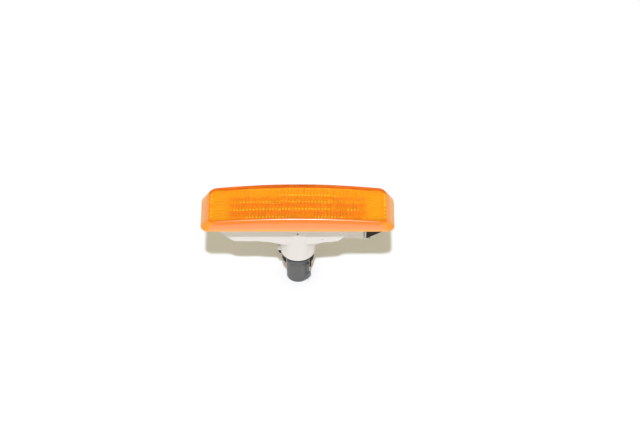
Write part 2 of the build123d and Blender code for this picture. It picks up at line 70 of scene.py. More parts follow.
class Wire:
    """A shader socket. Sums and products of wires add Math nodes, and add() puts in any other node."""

    def __init__(self, tree, socket=None):
        self.tree = tree
        self.socket = socket

    def add(self, kind, settings=None, inputs=None, output=0):
        """Adds a node: its settings first, then its sockets' values or links. Gives the chosen output."""
        node = self.tree.nodes.new("ShaderNode" + kind)
        for name, value in (settings or {}).items():
            if name == "stops":
                for stop in range(2, len(value)):
                    node.color_ramp.elements.new(value[stop][0])
                for element, (position, colour) in zip(node.color_ramp.elements, value):
                    element.position = position
                    element.color = colour
            else:
                setattr(node, name, value)
        for socket, value in (inputs or {}).items():
            if isinstance(value, Wire):
                self.tree.links.new(value.socket, node.inputs[socket])
            else:
                node.inputs[socket].default_value = value
        return Wire(self.tree, node.outputs[output] if node.outputs else None)

    def math(self, operation, first, second):
        """A Math node on two wires or numbers."""
        return self.add("Math", {"operation": operation}, {0: first, 1: second})

    def __add__(self, other):
        return self.math("ADD", self, other)

    __radd__ = __add__

    def __mul__(self, other):
        return self.math("MULTIPLY", self, other)

    __rmul__ = __mul__

    def __sub__(self, other):
        return self.math("SUBTRACT", self, other)

    def __rsub__(self, other):
        return self.math("SUBTRACT", other, self)


def new_finish(name):
    """A material with an empty node tree, and a wire to start its nodes from."""
    material = bpy.data.materials.new(name)
    material.use_nodes = True
    material.node_tree.nodes.clear()
    return material, Wire(material.node_tree)


def end_finish(wire, sockets, shadow_tint=None):
    """Ends a finish in a Principled surface. With a shadow tint, lamps shine through it in that colour."""
    surface = wire.add("BsdfPrincipled", inputs=sockets)
    if shadow_tint:
        tinted = wire.add("BsdfTransparent", inputs={"Color": shadow_tint})
        shadow_ray = wire.add("LightPath", output="Is Shadow Ray")
        surface = wire.add("MixShader", inputs={0: shadow_ray, 1: surface, 2: tinted})
    wire.add("OutputMaterial", inputs={"Surface": surface})


def mixed_colour(share, first, second):
    """A colour between two others, by a wire from 0 to 1."""
    return share.add("Mix", {"data_type": "RGBA"}, {0: share, 6: first, 7: second}, 2)


def noise(place, size, detail=2.0):
    """Cloudy noise from 0 to 1, whose patches are about a given size in metres."""
    return place.add("TexNoise", inputs={"Vector": place, "Scale": 1 / size, "Detail": detail})


def bumped(height, depth):
    """A normal that follows a height wire from 0 to 1, raised by a depth in metres."""
    return height.add("Bump", inputs={"Height": height, "Strength": 1.0, "Distance": depth})


def dress(piece, body, node, material):
    """Gives a piece its material and its body, and hides the solid that it stands for."""
    piece.data.materials.clear()
    piece.data.materials.append(material)
    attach(piece, body)
    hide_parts(node)


def eased_copy(node, name, width, sharp_at=None):
    """A copy of a solid's mesh: doubles merged, flat faces joined, and its corners rounded by a Bevel.

    Edges that end at a distance sharp_at from the middle, along X, meet almost in line there and stay sharp.
    """
    mesh = nodes[node].data.copy()
    work = bmesh.new()
    work.from_mesh(mesh)
    bmesh.ops.remove_doubles(work, verts=work.verts, dist=MERGE_DISTANCE)
    bmesh.ops.dissolve_limit(work, angle_limit=FLAT_ANGLE, verts=work.verts, edges=work.edges)
    rounded = work.edges.layers.float.new("bevel_weight_edge")
    for edge in work.edges:
        places = [abs(end.co.x) for end in edge.verts]
        free = sharp_at is None or all(abs(place - sharp_at) > SADDLE_END_REACH for place in places)
        edge[rounded] = float(free and edge.calc_face_angle(0) > CORNER_ANGLE)
    work.to_mesh(mesh)
    work.free()
    mesh.shade_smooth()
    mesh.set_sharp_from_angle(angle=CREASE_ANGLE)
    piece = bpy.data.objects.new(name, mesh)
    bpy.context.scene.collection.objects.link(piece)
    rounding = piece.modifiers.new("edge rounding", "BEVEL")
    rounding.width = width
    rounding.segments = ROUNDING_STEPS
    rounding.limit_method = "WEIGHT"
    rounding.use_clamp_overlap = False
    rounding.harden_normals = True
    return piece


housing_plastic, wire = new_finish("white_housing_plastic")
place = wire.add("TexCoord", output="Object")
mottle = noise(place, size=9 * MM, detail=3.0)
grain = noise(place, size=0.12 * MM)
end_finish(
    wire,
    {
        "Base Color": mixed_colour(mottle, (0.690, 0.660, 0.625, 1), (0.730, 0.700, 0.668, 1)),
        "Roughness": 0.36 + 0.14 * mottle,
        "Normal": bumped(grain, depth=0.006 * MM),
        "IOR": 1.49,
    },
)
housing = eased_copy("housing", "housing_moulding", width=0.25 * MM, sharp_at=SADDLE_END)
dress(housing, "lamp", "housing", housing_plastic)

# Lens: the amber cap, welded round its rim to the housing's flange.
# It is clear acrylic, polished outside, with rows of convex flutes, ribs and serrated end walls inside.
# The outside, the rim and the inside are one closed skin of two grids and the rings that join them, in mm.
LENS_LENGTH = 110.0
LENS_WIDTH = 33.0
LENS_HEIGHT = 7.6
LENS_ARCH = 1.6
FACE_SAG = 2.5
FACE_CROWN = 0.45
CROWN_FALL = 1.5
END_LEAN = 6.0
SIDE_LEAN = 2.4
NEAR_CORNER = 4.5
FAR_CORNER = 8.0
FAR_CORNER_TAPER = 4.9
LENS_WALL = 2.0
END_WALL = 1.5
RIM_LAND = 1.3
FLANGE_SEAT = 2.2
EDGE_ROUND = 1.1
END_ROUND = 0.4
LENS_CREASE = 0.7

CORNER_STEPS = 16
RUN_STEPS = 410
ACROSS_STEPS = 84
EDGE_STRIP = 0.015
MEETING_STEPS = 8
ROUND_STEPS = 7
WALL_STEPS = (0.1, 0.2, 0.3, 0.45, 0.7, 0.94, 1.0)
INNER_WALL_STEPS = (0.0, 0.3, 0.6, 0.9)

corner_turn = np.linspace(np.pi / 2, 0, CORNER_STEPS)
run_middle = np.linspace(-1, 1, RUN_STEPS)[1:-1]
along_run = np.concatenate([-np.ones(CORNER_STEPS), run_middle, np.ones(CORNER_STEPS)])
along_corner = np.concatenate([-np.sin(corner_turn), 0 * run_middle, np.sin(corner_turn[::-1])])
across_middle = np.linspace(2 * EDGE_STRIP - 1, 1 - 2 * EDGE_STRIP, ACROSS_STEPS)
across = np.concatenate([[-1, EDGE_STRIP - 1], across_middle, [1 - EDGE_STRIP, 1]])
x_count = len(along_run)
y_count = len(across)


def face_height(x):
    """Height of the domed face: a parabola that drops by the sag from the middle to the rim's ends."""
    return LENS_HEIGHT - FACE_SAG * (2 * x / LENS_LENGTH) ** 2


def corner_drop(x, half_length, corner):
    """How far a rounded corner falls back from a straight edge at x: a quarter circle beside each end."""
    into = np.clip(np.abs(x) - (half_length - corner), 0, corner)
    return corner - np.sqrt(corner**2 - into**2)


def outline_grid(height, end_inset, side_inset, corner_inset):
    """Grid over the lens outline at a height: x runs along straight edges and round corners, y from the near
    edge to the arched far edge. The walls lean in with height, the far edge gets more arched and its corners
    sharper, and insets draw the outline in further."""
    half_length = LENS_LENGTH / 2 - end_inset - END_LEAN * height / LENS_HEIGHT
    half_width = LENS_WIDTH / 2 - side_inset - SIDE_LEAN * height / LENS_HEIGHT
    far_corner = FAR_CORNER - FAR_CORNER_TAPER * height / LENS_HEIGHT - corner_inset
    x = along_run * (half_length - far_corner) + along_corner * far_corner
    near = -half_width + corner_drop(x, half_length, NEAR_CORNER - corner_inset)
    run_squared = (x / half_length) ** 2
    crown = FACE_CROWN * height / LENS_HEIGHT * (1 - CROWN_FALL * run_squared)
    far = half_width + crown - LENS_ARCH * run_squared - corner_drop(x, half_length, far_corner)
    share = (across + 1) / 2
    y = near[:, None] + share * (far - near)[:, None]
    return np.repeat(x[:, None], y_count, axis=1), y


def met_face(drop, end_inset, side_inset, corner_inset):
    """The same grid where the leaning walls meet the domed face lowered by a drop, found in a few steps."""
    height = np.full(x_count, LENS_HEIGHT - drop)
    for step in range(MEETING_STEPS):
        x, y = outline_grid(height, end_inset, side_inset, corner_inset)
        height = face_height(x[:, 0]) - drop
    return np.stack([x, y, np.repeat(height[:, None], y_count, axis=1)], axis=-1)


def rim_loop(grid):
    """The border of a grid as one loop: near edge, right end, far edge, left end."""
    return np.concatenate([grid[:, 0], grid[-1, 1:-1], grid[::-1, -1], grid[0, -2:0:-1]])


def level_loop(height, end_inset, side_inset, corner_inset):
    """The outline at a height as a loop of points."""
    x, y = outline_grid(np.full(x_count, float(height)), end_inset, side_inset, corner_inset)
    return rim_loop(np.stack([x, y, np.full_like(x, height)], axis=-1))


# Outside: the face, and the rounded edge as a curve from the wall through the sharp corner to the face.
outer_face = met_face(0, END_ROUND, EDGE_ROUND, EDGE_ROUND)
edge_corner = rim_loop(met_face(0, 0, 0, 0))
edge_top = rim_loop(outer_face)
rim_foot = level_loop(0, 0, 0, 0)
edge_low = edge_corner + (rim_foot - edge_corner) * (EDGE_ROUND / edge_corner[:, 2:])
outer_rings = []
for t in np.linspace(0, 1, ROUND_STEPS + 1)[1:]:
    outer_rings.append(edge_top * (1 - t) ** 2 + 2 * edge_corner * t * (1 - t) + edge_low * t**2)
for t in WALL_STEPS:
    outer_rings.append(edge_low + (rim_foot - edge_low) * t)

# Rim: the flat that lies on the panel, and the rebate for the housing's flange.
lean_end = END_LEAN / LENS_HEIGHT
lean_side = SIDE_LEAN / LENS_HEIGHT
rebate_foot = level_loop(0, RIM_LAND + lean_end * FLANGE_SEAT, RIM_LAND + lean_side * FLANGE_SEAT, RIM_LAND)
rebate_top = rebate_foot + np.array([0, 0, FLANGE_SEAT])

# Inside: the leaning hollow, its face lowered by the wall, with the optics hung below it.
# Tones here go from deep amber at 0 to yellow at 1, and a row from its near end at 0 to its far end at 1.
# A pair of places is where something starts and where it is full. A pair of tones is what every flute gets
# and what a lit flute gets on top.
FLUTE_PITCH = 1.85
FLUTE_DEPTH = 0.42
FLUTE_NEAR_SHARE = 0.55
FLUTE_FIELD = (40.5, 36.5)

ROW_LINES = (-12.3, -5.95, 0.25, 5.1, 11.9)
ROW_FADE = 0.12
# Each row deepens from its near tone to its far tone, in painted shading of its flutes.
ROW_NEAR_TONES = np.array([0.40, 0.46, 0.52, 0.60])
ROW_FAR_TONES = np.array([0.13, 0.15, 0.27, 0.68])
ROW_DEEPENING = (0.25, 0.95)
# Stretches of each row whose tips get painted glints.
LIT_STRETCHES = (((-32, -3), (7, 28)), ((-40, 21), (26, 37)), ((-36, -12), (-8, 23)), ((-13, 23),))
LIT_FADE = 5.0

# Painted glints on the flute tips, and painted shade in the gaps and the step line.
TIP_NEAR = (0.06, 0.11)
TIP_FAR = (0.32, 0.26)
TIP_SIDE = (0.5, 0.8)
TIP_TONES = (0.05, 0.8)
TIP_SPREAD = 0.25
TIP_FLUTE_TURN = 2.4
TIP_ROW_TURN = 1.7
GAP_SIDE = (0.55, 0.25)
GAP_FAR = (0.62, 0.32)
GAP_TONES = (0.03, 0.28)
STEP_LINE = (0.09, 0.04)
STEP_TONES = (0.10, 0.2)

END_TONE = 0.62
END_RIB_PITCH = 2.4
END_RIB_DEPTH = 0.16
# Painted shading across the end ribs.
END_RIB_TONE = 0.1
END_RIB_START = (41.0, 42.5)
END_RIB_END = (48.0, 46.5)
END_RIB_SIDE = (11.5, 10.0)

# Painted glints on the serration tips at each end, a painted highlight line, and painted shade in the gaps.
END_TIP_PITCH = 2.9
END_TIP_SHIFT = 1.07
END_TIP_PLACE = 49.4
END_TIP_OFFSET = 0.3
END_TIP_EDGE = (0.65, 0.35)
END_TIP_SIDE = (9.9, 9.3)
END_TIP_GAIN = 1.2
MISSING_TIP = -0.38
END_LINE = (-2.0, 0.0)
END_LINE_SHARE = 0.7
END_GAP_EDGE = (0.6, 0.3)
END_GAP_START = (0.4, 0.7)
END_GAP_TONE = 0.5

SERRATION_PITCH = 1.75
SERRATION_DEPTH = 0.3
SERRATION_START = (48.6, 49.4)
SERRATION_SIDE = 9.0
# Painted shade in a margin along the far edge.
FAR_MARGIN = (0.9, 0.5)
FAR_MARGIN_END = (48.0, 40.0)
FAR_MARGIN_TONE = 0.03

core_end = END_WALL * np.hypot(1, lean_end)
core_side = LENS_WALL * np.hypot(1, lean_side)
inner_face = met_face(LENS_WALL, core_end, core_side, LENS_WALL)


def rise(value, start, full):
    """From 0 at a start to 1 where it is full, with level ends: 3t^2 - 2t^3. Full may lie below the start."""
    t = np.clip((value - start) / (full - start), 0, 1)
    return t * t * (3 - 2 * t)


def arched(place):
    """0 at whole numbers and 1 half way between them, along a parabola, for shapes that repeat."""
    return 1 - (2 * (place % 1) - 1) ** 2


def optics(x, y):
    """Depth of the optics below the inner face, and their tone. In the rows, each flute is a parabola across
    its pitch and thickens along its row. A row goes from its near tone to its far tone, in painted shading,
    and at its near end each flute has a light tip, a painted glint, with painted shade in dark gaps between
    the tips and in a dark line below them. At both ends shallow ribs run lengthwise, each a parabola across
    its pitch, lighter along its crest in painted shading."""
    flute = arched(x / FLUTE_PITCH)
    row = np.interp(y, ROW_LINES, np.arange(len(ROW_LINES)))
    index = np.minimum(np.floor(row), len(ROW_LINES) - 2).astype(int)
    up_row = row - index
    in_field = rise(np.abs(x), *FLUTE_FIELD) * (y > ROW_LINES[0]) * (y < ROW_LINES[-1])
    in_row = rise(up_row, 0, ROW_FADE) * rise(up_row, 1, 1 - ROW_FADE)
    thickness = FLUTE_NEAR_SHARE + (1 - FLUTE_NEAR_SHARE) * up_row
    rib = arched(y / END_RIB_PITCH)
    in_ribs = rise(np.abs(x), *END_RIB_START) * rise(np.abs(x), *END_RIB_END) * rise(np.abs(y), *END_RIB_SIDE)
    depth = FLUTE_DEPTH * in_field * flute * in_row * thickness + END_RIB_DEPTH * in_ribs * rib

    # Painted glints: stretches of each row whose flute tips are lit, and a spread of their strength from
    # flute to flute.
    lit = np.zeros_like(x)
    for number, stretches in enumerate(LIT_STRETCHES):
        for first, last in stretches:
            window = rise(x, first, first + LIT_FADE) * rise(x, last, last - LIT_FADE)
            lit = np.maximum(lit, window * (index == number))
    turn = TIP_FLUTE_TURN * np.floor(x / FLUTE_PITCH) + TIP_ROW_TURN * index
    spread = 1 - TIP_SPREAD + TIP_SPREAD * np.cos(turn)
    # Painted shading: each row deepens from its near tone to its far tone.
    near_tone = ROW_NEAR_TONES[index]
    tone = near_tone + (ROW_FAR_TONES[index] - near_tone) * rise(up_row, *ROW_DEEPENING)
    # Painted glints on the flute tips, then painted shade in the gaps between them and in the step line
    # below.
    tip = rise(up_row, *TIP_NEAR) * rise(up_row, *TIP_FAR) * rise(flute, *TIP_SIDE)
    tone += (TIP_TONES[0] + TIP_TONES[1] * lit * spread) * tip
    gap = rise(flute, *GAP_SIDE) * rise(up_row, *GAP_FAR)
    tone -= (GAP_TONES[0] + GAP_TONES[1] * lit) * gap
    tone -= (STEP_TONES[0] + STEP_TONES[1] * lit) * rise(up_row, *STEP_LINE)
    # The ends take a plain tone, with painted shading across the ribs.
    tone = END_TONE + in_field * (tone - END_TONE) + END_RIB_TONE * in_ribs * (rib - 0.5)
    return depth, tone


def with_end_tips(tone, x, y):
    """A tone with a column of light tips across each end, painted glints, joined by a painted highlight line
    in the far half of the right one, and beyond the columns the dark gaps of the serrations in painted shade."""
    # Painted glints on the serration tips, and a painted highlight line on the right.
    tip = rise(arched((y - END_TIP_SHIFT) / END_TIP_PITCH), *TIP_SIDE)
    tip *= 1 - (x < 0) * (np.abs(y - MISSING_TIP) < END_TIP_PITCH / 2)
    line = END_LINE_SHARE * (x > 0) * rise(y, *END_LINE)
    past_tips = np.abs(x - END_TIP_OFFSET) - END_TIP_PLACE
    in_column = rise(np.abs(y), *END_TIP_SIDE)
    at_tips = rise(np.abs(past_tips), *END_TIP_EDGE) * in_column
    tone = tone + at_tips * (1 + END_TIP_GAIN * (np.maximum(tip, line) - 1)) * (1 - tone)
    # Painted shade in the gaps beyond the tips.
    gap = rise(arched(y / SERRATION_PITCH), *END_GAP_EDGE) * in_column
    return tone - END_GAP_TONE * gap * rise(past_tips, *END_GAP_START)


def with_far_margin(tone, x, y):
    """A tone that goes to deep amber in a narrow margin along the far edge, painted shade where the view runs
    into the thick far wall.
    """
    in_margin = rise(y[:, -1:] - y, *FAR_MARGIN) * rise(np.abs(x), *FAR_MARGIN_END)
    return tone + in_margin * (FAR_MARGIN_TONE - tone)


def serrated(points):
    """Points of the end walls drawn in by V-shaped serrations along y, deepest near the face."""
    x, y = points[..., 0], points[..., 1]
    teeth = 1 - 2 * np.abs((y / SERRATION_PITCH) % 1 - 0.5)
    on_end = rise(np.abs(x), *SERRATION_START) * (np.abs(y) < SERRATION_SIDE)
    moved = points.copy()
    moved[..., 0] -= np.sign(x) * SERRATION_DEPTH * teeth * on_end
    return moved


inner_x, inner_y = inner_face[:, :, 0], inner_face[:, :, 1]
optics_depth, inner_tone = optics(inner_x, inner_y)
inner_tone = with_end_tips(inner_tone, inner_x, inner_y)
inner_tone = np.clip(with_far_margin(inner_tone, inner_x, inner_y), 0, 1)
inner_face[:, :, 2] -= optics_depth
inner_face = serrated(inner_face)
inner_top = rim_loop(inner_face)
inner_foot = level_loop(FLANGE_SEAT, core_end, core_side, LENS_WALL)
inside_rings = [rebate_foot, rebate_top]
inside_rings += [inner_foot + (inner_top - inner_foot) * t for t in INNER_WALL_STEPS]

# Skin: the outer face, the rings from its border down the wall and up the inside, and the inner face.
rings = outer_rings + inside_rings
loop_count = len(edge_top)
grid_size = x_count * y_count
grid_index = np.arange(grid_size).reshape(x_count, y_count)
inner_start = grid_size + len(rings) * loop_count
corners = [grid_index[:-1, :-1], grid_index[1:, :-1], grid_index[1:, 1:], grid_index[:-1, 1:]]
grid_faces = np.stack([part.ravel() for part in corners], axis=1)
border = rim_loop(grid_index[:, :, None])[:, 0]
loops = [border] + [grid_size + ring * loop_count + np.arange(loop_count) for ring in range(len(rings))]
loops.append(inner_start + border)
skin = [grid_faces, inner_start + grid_faces[:, ::-1]]
for upper, lower in zip(loops, loops[1:]):
    skin.append(np.stack([upper, lower, np.roll(lower, -1), np.roll(upper, -1)], axis=1))
lens_points = np.concatenate([outer_face.reshape(-1, 3)] + rings + [inner_face.reshape(-1, 3)])

# Walls: their tones go from light peach at 0 through orange to deep amber at 0.9; the peach is painted
# reflection of the white table. A table gives heights, from the rim at 0 to the face at 1, and the tone at
# each. The pairs are where the end walls, the far wall and the painted glows start and where they are full.
LONG_WALL_TONES = ((0, 0.06, 0.6, 0.72, 1), (0.05, 0.08, 0.25, 0.47, 0.55))
END_WALL_TONES = ((0, 0.7, 0.88, 1), (0.05, 0.11, 0.22, 0.30))
FAR_WALL_TONES = ((0.78, 0.88), (0.55, 0.9))
END_WALL_START = (48.0, 51.0)
END_WALL_NEAR = (-13.0, -10.0)
FAR_WALL_START = (10.0, 12.5)
OUTER_FACE_TONE = 0.5
# Painted glow: yellow orange light at the near corners and on the end walls.
CORNER_GLOW_START = (49.5, 53.5)
CORNER_GLOW_LEAN = 5.0
CORNER_GLOW_FAR = (-9.0, -13.0)
CORNER_GLOW_TOP = (0.92, 0.77)
END_GLOW = 0.8
END_GLOW_FAR = (12.0, 9.0)
END_GLOW_LOW = (0.5, 0.8)


def wall_tone(loop):
    """Tone of a wall, linear in stretches by height: light peach at the rim, peach, then orange below the
    face, the peach a painted reflection of the white table. The end walls are lighter, in painted light.
    The far wall is orange up to the rounded edge, which is deep amber, because light comes through the
    most plastic there."""
    x, y, z = np.abs(loop[:, 0]), loop[:, 1], loop[:, 2]
    up = np.clip(z / edge_corner[:, 2], 0, 1)
    on_end = rise(x, *END_WALL_START) * rise(y, *END_WALL_NEAR)
    long_wall = np.interp(up, *LONG_WALL_TONES)
    tone = long_wall + on_end * (np.interp(up, *END_WALL_TONES) - long_wall)
    return tone + rise(y, *FAR_WALL_START) * (np.interp(up, *FAR_WALL_TONES) - tone)


def corner_glow(loop):
    """How much painted glow, a yellow orange light, a wall gets: 1 at the two near corners, over a longer
    stretch higher up, and less on the upper half of the end walls."""
    x, y, z = np.abs(loop[:, 0]), loop[:, 1], loop[:, 2]
    up = np.clip(z / edge_corner[:, 2], 0, 1)
    at_corner = rise(x + CORNER_GLOW_LEAN * up, *CORNER_GLOW_START) * rise(y, *CORNER_GLOW_FAR)
    on_end = rise(x, *END_WALL_START) * rise(y, *END_WALL_NEAR) * rise(y, *END_GLOW_FAR)
    return np.maximum(at_corner * rise(up, *CORNER_GLOW_TOP), END_GLOW * on_end * rise(up, *END_GLOW_LOW))


tones = [np.full(grid_size, OUTER_FACE_TONE)]
tones += [wall_tone(ring) for ring in rings]
tones.append(inner_tone.ravel())
# The painted glow goes only on the outer walls.
painted_glows = [np.zeros(grid_size)]
painted_glows += [corner_glow(ring) for ring in outer_rings]
painted_glows.append(np.zeros(len(inside_rings) * loop_count + grid_size))


def mesh_piece(name, points, faces, crease):
    """An object from an array of points in millimetres and a list of faces, smooth up to a crease angle."""
    mesh = bpy.data.meshes.new(name)
    mesh.from_pydata(points * MM, [], faces)
    mesh.shade_smooth()
    mesh.set_sharp_from_angle(angle=crease)
    piece = bpy.data.objects.new(name, mesh)
    bpy.context.scene.collection.objects.link(piece)
    return piece


def ranged(wire, low, high, first, last):
    """A wire taken in a straight line from low and high to first and last, and held at both ends."""
    return wire.add("MapRange", inputs={0: wire, 1: low, 2: high, 3: first, 4: last})


lens = mesh_piece("lens_cap", lens_points, np.concatenate(skin).tolist(), LENS_CREASE)

# Three finishes of the one plastic. The outer face is polished and clear, and lets lamps through it.
# The walls and the rounded edge are thick and hazy. The inner face takes its tone from the optics, with
# painted glints and painted shade.
outer_amber, wire = new_finish("amber_outer_face")
place = wire.add("TexCoord", output="Object")
swirl = noise(place, size=14 * MM)
scuffs = noise(place, size=0.8 * MM, detail=4.0)
end_finish(
    wire,
    {
        "Base Color": mixed_colour(swirl, (1.0, 0.66, 0.035, 1), (1.0, 0.72, 0.05, 1)),
        "Roughness": 0.10 + 0.08 * scuffs,
        "Transmission Weight": 0.94,
        "IOR": 1.53,
        "Coat Weight": 0.4,
        "Coat Roughness": 0.25,
    },
    shadow_tint=(1.0, 0.86, 0.4, 1),
)

wall_amber, wire = new_finish("amber_wall")
place = wire.add("TexCoord", output="Object")
haze = noise(place, size=5 * MM, detail=3.0)
tone = wire.add("Attribute", {"attribute_name": "amber_tone"}, output="Fac")
painted_glow = wire.add("Attribute", {"attribute_name": "corner_glow"}, output="Fac")
# Ramp for the wall tones: its light peach stops are painted reflection of the white table.
wall_stops = [
    (0.0, (1.0, 0.47, 0.12, 1)),
    (0.05, (1.0, 0.47, 0.125, 1)),
    (0.10, (1.0, 0.43, 0.13, 1)),
    (0.17, (1.0, 0.34, 0.12, 1)),
    (0.27, (1.0, 0.32, 0.10, 1)),
    (0.46, (1.0, 0.24, 0.008, 1)),
    (0.56, (1.0, 0.23, 0.006, 1)),
    (0.84, (0.66, 0.12, 0.005, 1)),
]
wall_ramp = wire.add("ValToRGB", {"stops": wall_stops}, {"Fac": tone + 0.04 * (haze - 0.5)})
edge_coat = ranged(tone, low=0.38, high=0.46, first=0.06, last=0.42)
off_far_edge = ranged(tone, low=0.6, high=0.8, first=1.0, last=0.1)
# The base colour mixes in the painted glow, a yellow orange light at the near corners and ends.
end_finish(
    wire,
    {
        "Base Color": mixed_colour(painted_glow, wall_ramp, (1.0, 0.37, 0.035, 1)),
        "Roughness": 0.15 + 0.03 * haze,
        "Transmission Weight": 0.18,
        "IOR": 1.53,
        "Specular IOR Level": 0.3,
        "Coat Weight": edge_coat * off_far_edge,
        "Coat Roughness": 0.25,
    },
)

inner_amber, wire = new_finish("amber_inner_face")
place = wire.add("TexCoord", output="Object")
flow = noise(place, size=6 * MM)
tone = wire.add("Attribute", {"attribute_name": "amber_tone"}, output="Fac")
# Ramp for the optics' tones: its yellow top is the colour of the painted glints.
inner_stops = [
    (0.0, (0.72, 0.18, 0.005, 1)),
    (0.12, (1.0, 0.26, 0.006, 1)),
    (0.3, (1.0, 0.33, 0.010, 1)),
    (0.6, (1.0, 0.50, 0.020, 1)),
    (1.0, (1.0, 0.90, 0.210, 1)),
]
end_finish(
    wire,
    {
        "Base Color": wire.add("ValToRGB", {"stops": inner_stops}, {"Fac": tone + 0.06 * (flow - 0.5)}),
        "Roughness": 0.14 + 0.06 * flow,
        "Transmission Weight": 0.3,
        "IOR": 1.53,
    },
    shadow_tint=(1.0, 0.78, 0.2, 1),
)

dress(lens, "lamp", "lens", outer_amber)
lens.data.materials.append(wall_amber)
lens.data.materials.append(inner_amber)
face_finishes = np.full(len(lens.data.polygons), lens.data.materials.find(wall_amber.name), dtype=np.int32)
face_finishes[: len(grid_faces)] = lens.data.materials.find(outer_amber.name)
face_finishes[len(grid_faces) : 2 * len(grid_faces)] = lens.data.materials.find(inner_amber.name)
lens.data.polygons.foreach_set("material_index", face_finishes)
# The tones, with the painted light in them, and the painted glow go on the points as attributes.
for name, values in (("amber_tone", tones), ("corner_glow", painted_glows)):
    attribute = lens.data.attributes.new(name, "FLOAT", "POINT")
    attribute.data.foreach_set("value", np.concatenate(values).astype(np.float32))

# Retaining clip: the wedge that snaps behind the edge of the cut-out in the car's wing.
# It is a black moulding with a fine grain, hooked through the window of the housing's leg.
# The solid is carried over, with its wedge drawn out further the nearer it is to its tip.
CLIP_ROOT = 39.2
CLIP_TIP = 48.3
CLIP_STRETCH = 0.8


def mesh_points(piece):
    """A piece's points in millimetres, as an array."""
    points = np.empty(3 * len(piece.data.vertices))
    piece.data.vertices.foreach_get("co", points)
    return points.reshape(-1, 3) / MM


def set_points(piece, points):
    """Puts an array of points in millimetres back into a piece."""
    piece.data.vertices.foreach_set("co", (points * MM).ravel())
    piece.data.update()


clip_plastic, wire = new_finish("black_clip_plastic")
place = wire.add("TexCoord", output="Object")
grain = noise(place, size=0.25 * MM, detail=3.0)
end_finish(
    wire,
    {
        "Base Color": mixed_colour(grain, (0.017, 0.009, 0.004, 1), (0.032, 0.018, 0.009, 1)),
        "Roughness": 0.5 + 0.2 * grain,
        "Specular IOR Level": 0.25,
        "Normal": bumped(grain, depth=0.012 * MM),
    },
)
clip = eased_copy("retaining_clip", "retaining_clip_moulding", width=0.2 * MM)
clip_points = mesh_points(clip)
clip_points[:, 0] += CLIP_STRETCH * np.clip((clip_points[:, 0] - CLIP_ROOT) / (CLIP_TIP - CLIP_ROOT), 0, 1)
set_points(clip, clip_points)
dress(clip, "lamp", "retaining_clip", clip_plastic)

# Holder seal: the ring squeezed between the boss and the holder's flange, with ears beside the flange.
# It is black moulded rubber, dull and a little dusty.
# The solid is carried over, with the foot of the ear under the boss's stop drawn in, so that it tapers.
STOP_EAR_INNER = 10.05
STOP_EAR_DEPTH = 2.4
STOP_EAR_FOOT = 10.6
POINT_SLACK = 0.1

seal_rubber, wire = new_finish("seal_rubber")
place = wire.add("TexCoord", output="Object")
dust = noise(place, size=0.5 * MM, detail=4.0)
end_finish(
    wire,
    {
        "Base Color": mixed_colour(dust, (0.007, 0.007, 0.006, 1), (0.018, 0.017, 0.016, 1)),
        "Roughness": 0.65 + 0.2 * dust,
        "Specular IOR Level": 0.25,
        "Normal": bumped(dust, depth=0.02 * MM),
    },
)
seal = eased_copy("holder_seal", "holder_seal_ring", width=0.25 * MM)
seal_points = mesh_points(seal)
ear_level = seal_points[:, 2].max() - STOP_EAR_DEPTH + POINT_SLACK
ear_foot = (seal_points[:, 0] < -STOP_EAR_INNER) & (seal_points[:, 2] < ear_level)
seal_points[ear_foot, 0] = np.maximum(seal_points[ear_foot, 0], -STOP_EAR_FOOT)
set_points(seal, seal_points)
dress(seal, "holder", "holder_seal", seal_rubber)

# Bulb holder: the twist-lock plug with its flange, thumb tabs, connector shroud and key.
# It is a grey glass-filled moulding, satin, with faint flow streaks along its length.
# The solid is carried over. Its tabs stop lower, at a step in the flange, and its key's foot is lifted.
SHROUD_RADIUS = 6.5
TAB_INNER = 9.3
TAB_TOP = 31.2
TAB_DROP = 1.65
KEY_FOOT = 51.0
KEY_LIFT = 1.6

holder_plastic, wire = new_finish("grey_holder_plastic")
place = wire.add("TexCoord", output="Object")
stretched = wire.add("Mapping", inputs={"Vector": place, "Scale": (1.0, 1.0, 0.12)})
streaks = noise(stretched, size=1.2 * MM, detail=3.0)
grain = noise(place, size=0.2 * MM)
end_finish(
    wire,
    {
        "Base Color": mixed_colour(streaks, (0.090, 0.093, 0.093, 1), (0.128, 0.131, 0.131, 1)),
        "Roughness": 0.38 + 0.2 * streaks,
        "Normal": bumped(grain, depth=0.008 * MM),
    },
)
holder = eased_copy("bulb_holder", "bulb_holder_moulding", width=0.2 * MM)
holder_points = mesh_points(holder)
radius = np.hypot(holder_points[:, 0], holder_points[:, 1])
tab_top = (radius > TAB_INNER - POINT_SLACK) & (np.abs(holder_points[:, 2] + TAB_TOP) < POINT_SLACK)
holder_points[tab_top, 2] -= TAB_DROP
key_foot = (radius > SHROUD_RADIUS + POINT_SLACK) & (np.abs(holder_points[:, 2] + KEY_FOOT) < POINT_SLACK)
holder_points[key_foot, 2] += KEY_LIFT
set_points(holder, holder_points)
dress(holder, "holder", "bulb_holder", holder_plastic)

